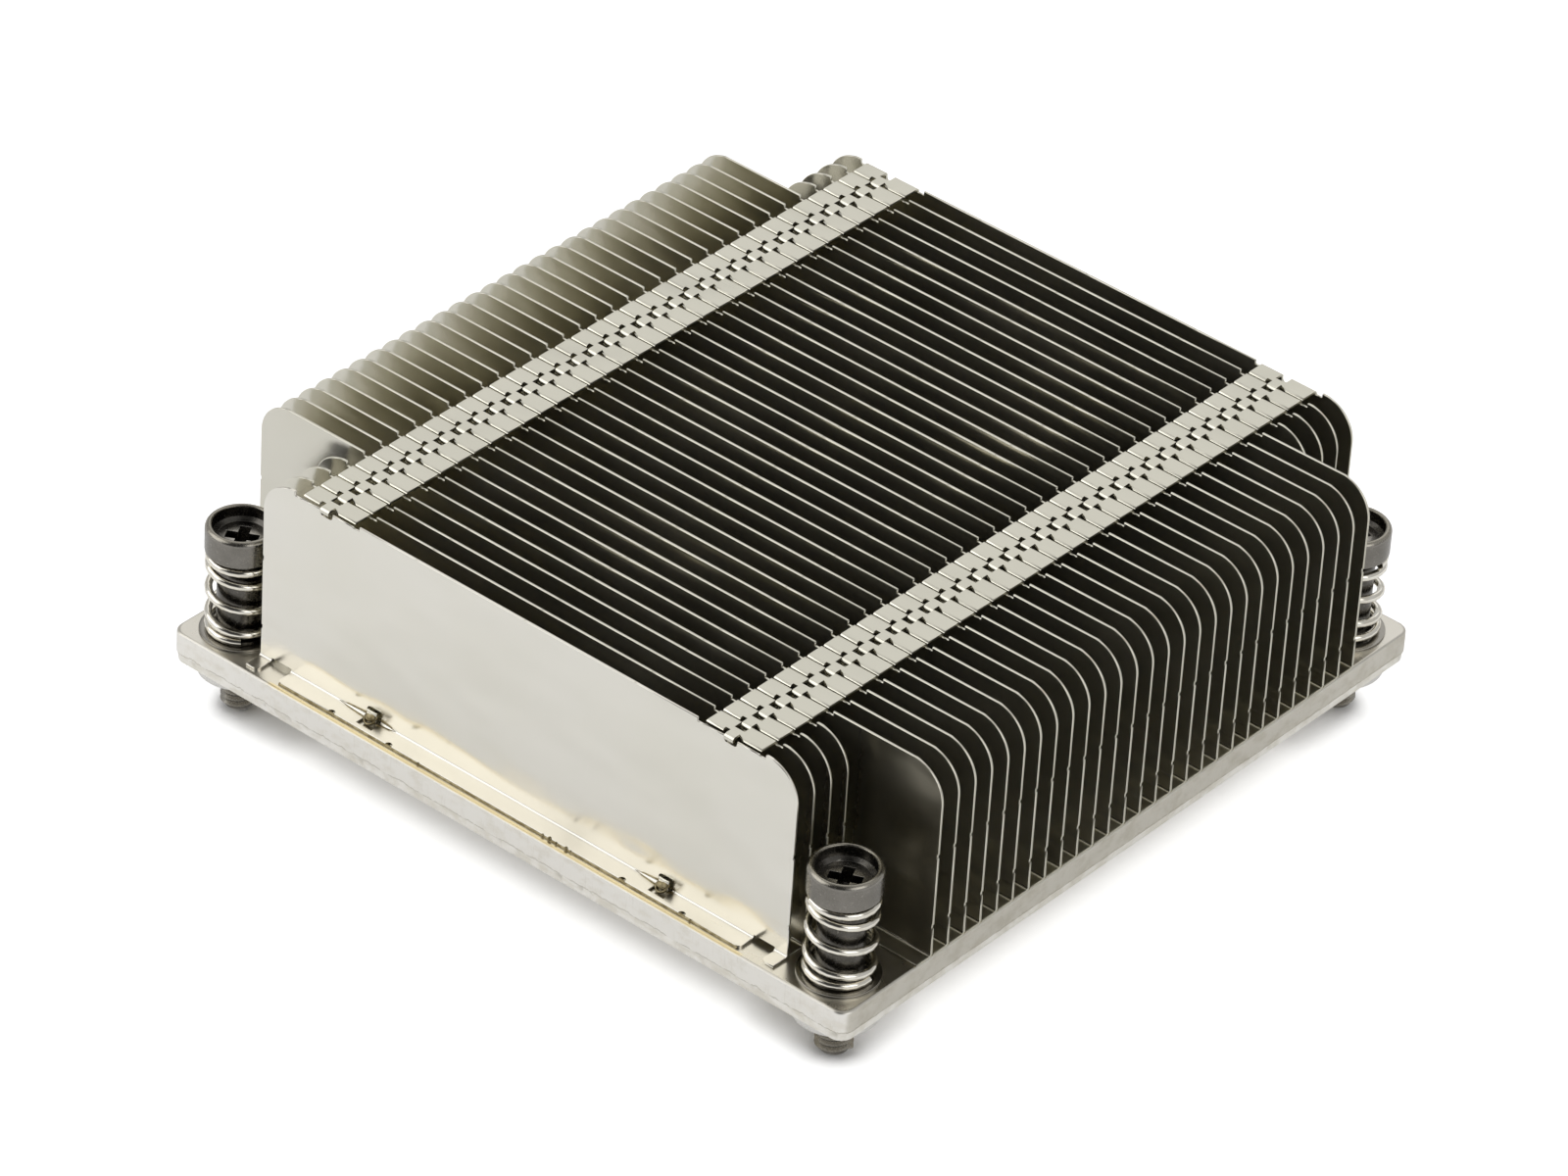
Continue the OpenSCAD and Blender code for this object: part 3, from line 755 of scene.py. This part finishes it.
def make_screw():
    """Captive screw: cup head with a cross recess, shank, groove and a cut thread."""
    bottom = screw_low.z
    top = screw_high.z
    head_r = (screw_high.x - screw_low.x) / 2
    head_z = spring_high.z
    shank_r = 2.5 * MM
    thread_r = 1.95 * MM
    core_r = thread_r - THREAD_DEPTH
    groove_r = 1.7 * MM
    cup_r = head_r - HEAD_WALL
    floor_r = cup_r - HEAD_WALL / 2
    floor_z = top - CUP_DEPTH
    lip = 0.15 * MM
    piece = turned([
        (core_r * 0.8, bottom),
        (core_r, bottom + 0.3 * MM),
        (core_r, ring_low.z - 0.5 * MM),
        (thread_r, ring_low.z - 0.15 * MM),
        (thread_r, ring_low.z),
        (groove_r, ring_low.z),
        (groove_r, PLATE_UNDER),
        (shank_r, PLATE_UNDER),
        (shank_r, head_z),
        (head_r - 0.2 * MM, head_z),
        (head_r, head_z + 0.2 * MM),
        (head_r, top - HEAD_ROUND),
        (head_r - 0.08 * HEAD_ROUND, top - 0.6 * HEAD_ROUND),
        (head_r - 0.3 * HEAD_ROUND, top - 0.28 * HEAD_ROUND),
        (head_r - 0.6 * HEAD_ROUND, top - 0.08 * HEAD_ROUND),
        (head_r - 0.9 * HEAD_ROUND, top),
        (cup_r, top - 0.1 * MM),
        (cup_r, floor_z + 2 * lip),
        (floor_r, floor_z + lip),
        (floor_r - lip, floor_z),
    ])
    arm_long = 4.4 * MM
    arm_wide = 1.5 * MM
    for turn in (0, math.pi / 2):
        bar = add_primitive(bpy.ops.mesh.primitive_cube_add, size=1, location=(0, 0, floor_z),
                            rotation=(0, 0, turn), scale=(arm_long, arm_wide, 2 * CUP_DEPTH))
        with editing(bar):
            choose(bar, "FACE", lambda f: f.normal.z < -0.5)
            bpy.ops.transform.resize(value=(0.55, 0.55, 1))
        cut_away(piece, bar)
    round_edges(piece, 0.05 * MM)
    ridge = add_primitive(bpy.ops.mesh.primitive_circle_add, vertices=3, radius=THREAD_DEPTH,
                          location=(core_r, 0, bottom + THREAD_DEPTH),
                          rotation=(math.pi / 2, math.pi / 2, 0))
    apply_modifier(ridge, "SCREW", axis="Z", angle=2 * math.pi, screw_offset=THREAD_PITCH,
                   iterations=5, steps=32, render_steps=32, use_merge_vertices=True)
    with editing(ridge):
        bpy.ops.mesh.select_all(action="SELECT")
        bpy.ops.mesh.fill_holes(sides=3)
        bpy.ops.mesh.normals_make_consistent(inside=False)
    bpy.ops.object.select_all(action="DESELECT")
    ridge.select_set(True)
    piece.select_set(True)
    bpy.context.view_layer.objects.active = piece
    bpy.ops.object.join()
    smooth(piece, 30)
    return piece


def make_spring():
    """Left handed compression spring: a round wire carried round its coil, closed at its ends."""
    coil_r = (spring_high.x - spring_low.x) / 2 - WIRE_RADIUS
    turns = 2 * CLOSED_TURNS + OPEN_TURNS
    rise = spring_high.z - spring_low.z - 2 * WIRE_RADIUS
    closed_rise = CLOSED_TURNS * (2 * WIRE_RADIUS + CLOSED_GAP)
    open_rise = rise - 2 * closed_rise
    steps = round(turns * TURN_STEPS)
    turn_step = turns / steps

    def height(turn):
        low = min(turn, CLOSED_TURNS) / CLOSED_TURNS * closed_rise
        high = max(turn - CLOSED_TURNS - OPEN_TURNS, 0) / CLOSED_TURNS * closed_rise
        share = min(max((turn - CLOSED_TURNS) / OPEN_TURNS, 0), 1)
        return low + high + share * open_rise

    start = (coil_r, 0, spring_low.z + WIRE_RADIUS)
    piece = add_primitive(bpy.ops.mesh.primitive_circle_add, vertices=WIRE_SIDES,
                          radius=WIRE_RADIUS, location=start, rotation=(math.pi / 2, 0, 0))
    with editing(piece):
        bpy.ops.mesh.select_all(action="SELECT")
        for step in range(steps):
            bpy.ops.mesh.extrude_region()
            bpy.ops.transform.rotate(value=turn_step * 2 * math.pi, orient_axis="Z",
                                     center_override=(0, 0, 0))
            lift = height((step + 1) * turn_step) - height(step * turn_step)
            bpy.ops.transform.translate(value=(0, 0, lift))
        bpy.ops.mesh.select_all(action="SELECT")
        bpy.ops.mesh.fill_holes(sides=WIRE_SIDES)
        bpy.ops.mesh.normals_make_consistent(inside=False)
    smooth(piece, 50)
    return piece


def make_ring(low, high, hole_r, edge):
    """A flat ring between two levels, with softened edges."""
    outer_r = (high.x - low.x) / 2
    piece = turned([(hole_r, low.z), (outer_r, low.z), (outer_r, high.z), (hole_r, high.z)],
                   closed=True)
    round_edges(piece, edge)
    smooth(piece, 30)
    return piece


def studio():
    """White floor, three soft lights, a plain world and the camera."""
    scene = bpy.context.scene
    scene.view_settings.view_transform = "Standard"
    scene.cycles.max_bounces = 24
    scene.cycles.glossy_bounces = 20

    floor = add_primitive(bpy.ops.mesh.primitive_plane_add, size=6, location=(0, 0, screw_low.z))
    floor.name = "studio_floor"
    material, tree = new_material("studio_floor")
    camera_ray = tree.add("ShaderNodeLightPath", output="Is Camera Ray")
    glossy_ray = tree.add("ShaderNodeLightPath", output="Is Glossy Ray")
    open_share = tree.add("ShaderNodeAmbientOcclusion", {"samples": 24}, {"Distance": 8.6 * MM}, "AO")
    strength = 0.7 * camera_ray * open_share.ramp(0.38, 0.60) + 0.27 * glossy_ray
    lift = tree.add("ShaderNodeEmission", {}, {"Color": rgb(1, 1, 1), "Strength": strength})
    white = tree.add("ShaderNodeBsdfDiffuse", {}, {"Color": rgb(0.9, 0.9, 0.9)})
    tree.finish(tree.add("ShaderNodeAddShader", {}, {0: white, 1: lift}))
    floor.data.materials.append(material)

    world = bpy.data.worlds.new("studio_world")
    scene.world = world
    tree = Tree(world)
    camera_ray = tree.add("ShaderNodeLightPath", output="Is Camera Ray")
    toward = tree.add("ShaderNodeTexCoord", output="Generated")
    settings = {"operation": "DOT_PRODUCT"}
    facing = tree.add("ShaderNodeVectorMath", settings, {0: toward, 1: DARK_SIDE}, "Value")
    dim = 0.5 * facing.ramp(0.70, 0.88, 1.0, 0.08)
    strength = dim + (1 - dim) * camera_ray
    background = tree.add("ShaderNodeBackground", {}, {"Color": rgb(1, 1, 1), "Strength": strength})
    tree.finish(background, "ShaderNodeOutputWorld")

    for name, direction, distance, size, radiance in (
        ("light_left", (-0.60, -0.55, 0.58), 0.9, 0.8, 1.15),
        ("light_right", (0.80, -0.19, 0.55), 0.9, 0.6, 1.2),
        ("light_top", (-0.35, 0.60, 0.72), 1.0, 0.9, 0.5),
    ):
        lamp = bpy.data.lights.new(name, "AREA")
        lamp.size = size
        lamp.energy = math.pi * size * size * radiance
        light = bpy.data.objects.new(name, lamp)
        scene.collection.objects.link(light)
        toward = Vector(direction).normalized()
        light.location = toward * distance
        light.rotation_euler = toward.to_track_quat("Z", "Y").to_euler()

    lens = bpy.data.cameras.new("camera")
    lens.lens = CAMERA_LENS
    lens.sensor_width = SENSOR_WIDTH
    lens.clip_start = 0.05
    lens.clip_end = 20
    camera = bpy.data.objects.new("camera", lens)
    scene.collection.objects.link(camera)
    turn = (Matrix.Rotation(CAMERA_AZIMUTH, 4, "Z")
            @ Matrix.Rotation(math.pi / 2 - CAMERA_ELEVATION, 4, "X")
            @ Matrix.Rotation(CAMERA_ROLL, 4, "Z"))
    camera.matrix_world = Matrix.Translation(CAMERA_PLACE) @ turn
    scene.camera = camera


studio()

fins = fin_nickel("fin_nickel", False)
make_fins(fins, fin_nickel("fin_nickel_front", True))
make_solder(solder_tin())
make_plate(plate_nickel(), plate_fracture())
set_on_corners(make_screw(), "screw", "turning_{}", screw_steel(), SCREW_TURNS)
springs = set_on_corners(make_spring(), "spring", "heatsink", spring_steel(),
                         SPRING_STARTS)
for corner, spring in springs.items():
    "press_" + corner
    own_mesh(spring)
set_on_corners(make_ring(washer_low, washer_high, HOLE_RADIUS, 0.06 * MM),
               "washer", "heatsink", washer_steel(), SCREW_TURNS)
set_on_corners(make_ring(ring_low, ring_high, 1.75 * MM, 0.15 * MM),
               "ring", "carrier_{}", ring_steel(), SCREW_TURNS)
